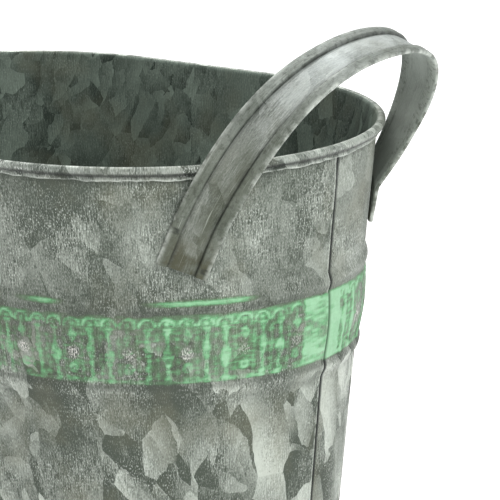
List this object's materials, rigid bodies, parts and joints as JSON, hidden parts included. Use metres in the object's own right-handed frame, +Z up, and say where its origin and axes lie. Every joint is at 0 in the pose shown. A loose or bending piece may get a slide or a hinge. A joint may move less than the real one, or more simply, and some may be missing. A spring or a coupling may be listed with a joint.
{
  "type": "florist bucket",
  "caption": "Oval tapered galvanised sheet bucket with a rolled rim, a rolled band around the wall, lap seams and fixed arched strap handles at the ends.",
  "frame": {"origin": "centre of the bucket's foot, on the surface it stands on", "axes": "+Z up; X along the oval's length, through both handles and both seams; Y across it"},
  "size_m": [0.3706, 0.2036, 0.2801],
  "materials": {
    "zinc_wall": "weathered galvanised sheet with spangle, band washed in mint green",
    "zinc_base": "dull galvanised sheet",
    "steel_wire": "galvanised wire, hidden in the rim",
    "zinc_strap": "weathered galvanised strap"
  },
  "bodies": {
    "root": {"shell_front": "zinc_wall", "shell_rear": "zinc_wall", "base_pan": "zinc_base", "rim_wire": "steel_wire", "handle_right": "zinc_strap", "handle_left": "zinc_strap"}
  },
  "joints": []
}
